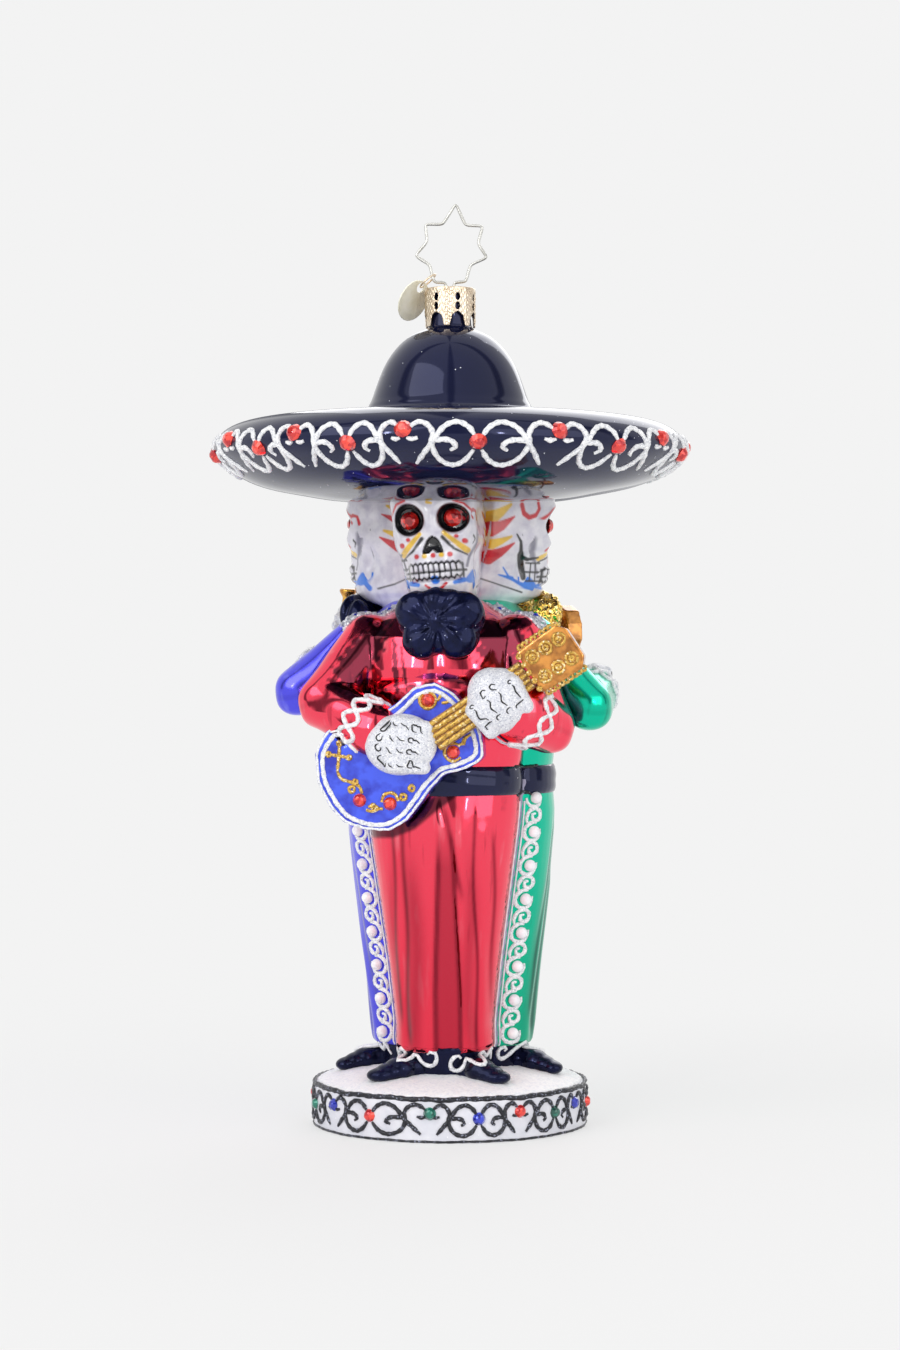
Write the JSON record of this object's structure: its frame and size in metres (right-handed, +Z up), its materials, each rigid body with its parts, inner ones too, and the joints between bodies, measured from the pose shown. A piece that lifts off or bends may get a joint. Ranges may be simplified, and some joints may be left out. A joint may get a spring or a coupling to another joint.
{
  "type": "skeleton christmas ornament",
  "caption": "Hanging glass ornament: skeleton mariachi players back to back under one broad black sombrero on a round base, with a crown cap, a star-shaped wire hanger and a round tag.",
  "frame": {"origin": "centre of the base's flat underside", "axes": "+Z up along the ornament's axis towards the hanger; -Y the way the guitar player faces; +X to the right of someone looking at the guitar player"},
  "size_m": [0.095, 0.095, 0.1837],
  "materials": {
    "sombrero_black": "gloss black lacquer on silvered glass",
    "base_white": "satin white lacquer with glitter on top",
    "skull_white": "satin white lacquer",
    "bone_white": "satin white lacquer",
    "bow_black": "gloss black lacquer with glitter",
    "bow_gold": "bright gold lacquer",
    "jacket_red": "transparent red lacquer on silvered glass",
    "jacket_blue": "transparent blue lacquer on silvered glass",
    "jacket_green": "transparent green lacquer on silvered glass",
    "sash_black": "black lacquer with glitter",
    "shoe_black": "gloss black lacquer",
    "gem_red": "foil-backed cut glass",
    "guitar_blue": "gloss blue lacquer",
    "guitar_gold": "brown lacquer with gold glitter",
    "wood_amber": "transparent amber lacquer on silvered glass",
    "trumpet_gold": "bright gold lacquer",
    "cap_gold": "embossed and bright",
    "wire_silver": "bright spring wire",
    "tag_gold": "bright, bare of engraving"
  },
  "bodies": {
    "glass": {"round_base": "base_white", "sombrero": "sombrero_black", "guitar_player_trousers": "jacket_red", "guitar_player_sash": "sash_black", "guitar_player_jacket": "jacket_red", "guitar_player_skull": "skull_white", "guitar_player_right_eye_gem": "gem_red", "guitar_player_left_eye_gem": "gem_red", "guitar_player_right_sleeve": "jacket_red", "guitar_player_left_sleeve": "jacket_red", "guitar_player_right_hand": "bone_white", "guitar_player_left_hand": "bone_white", "guitar_player_right_shoe": "shoe_black", "guitar_player_left_shoe": "shoe_black", "guitar_player_bow_tie": "bow_black", "guitar_body": "guitar_blue", "guitar_strings": "guitar_gold", "guitar_headstock": "wood_amber", "violin_player_trousers": "jacket_green", "violin_player_sash": "sash_black", "violin_player_jacket": "jacket_green", "violin_player_skull": "skull_white", "violin_player_right_eye_gem": "gem_red", "violin_player_left_eye_gem": "gem_red", "violin_player_right_sleeve": "jacket_green", "violin_player_left_sleeve": "jacket_green", "violin_player_right_hand": "bone_white", "violin_player_left_hand": "bone_white", "violin_player_right_shoe": "shoe_black", "violin_player_left_shoe": "shoe_black", "violin_player_bow_tie": "bow_gold", "violin_body": "wood_amber", "violin_neck": "wood_amber", "violin_bow": "trumpet_gold", "trumpet_player_trousers": "jacket_blue", "trumpet_player_sash": "sash_black", "trumpet_player_jacket": "jacket_blue", "trumpet_player_skull": "skull_white", "trumpet_player_right_eye_gem": "gem_red", "trumpet_player_left_eye_gem": "gem_red", "trumpet_player_right_sleeve": "jacket_blue", "trumpet_player_left_sleeve": "jacket_blue", "trumpet_player_right_hand": "bone_white", "trumpet_player_left_hand": "bone_white", "trumpet_player_right_shoe": "shoe_black", "trumpet_player_left_shoe": "shoe_black", "trumpet_player_bow_tie": "bow_black", "trumpet": "trumpet_gold"},
    "hanger": {"star_hanger": "wire_silver"},
    "cap": {"crown_cap": "cap_gold"},
    "ring": {"jump_ring": "cap_gold"},
    "tag": {"round_tag": "tag_gold"}
  },
  "joints": [
    {"name": "hanger_pull", "type": "slide", "parent": "glass", "child": "hanger", "axis": [0, 0, 1], "range_m": [0, 0.02]},
    {"name": "cap_turn", "type": "hinge", "parent": "hanger", "child": "cap", "pos_m": [0, 0, 0.1666], "axis": [0, 0, 1], "continuous": true},
    {"name": "ring_swing", "type": "hinge", "parent": "hanger", "child": "ring", "pos_m": [-0.00325, 0, 0.16795], "axis": [-0.2249, 0, 0.9744], "range_deg": [-6, 20]},
    {"name": "tag_swing", "type": "hinge", "parent": "ring", "child": "tag", "pos_m": [-0.00601, 0, 0.16701], "axis": [0, 1, 0], "range_deg": [0, 35]}
  ]
}
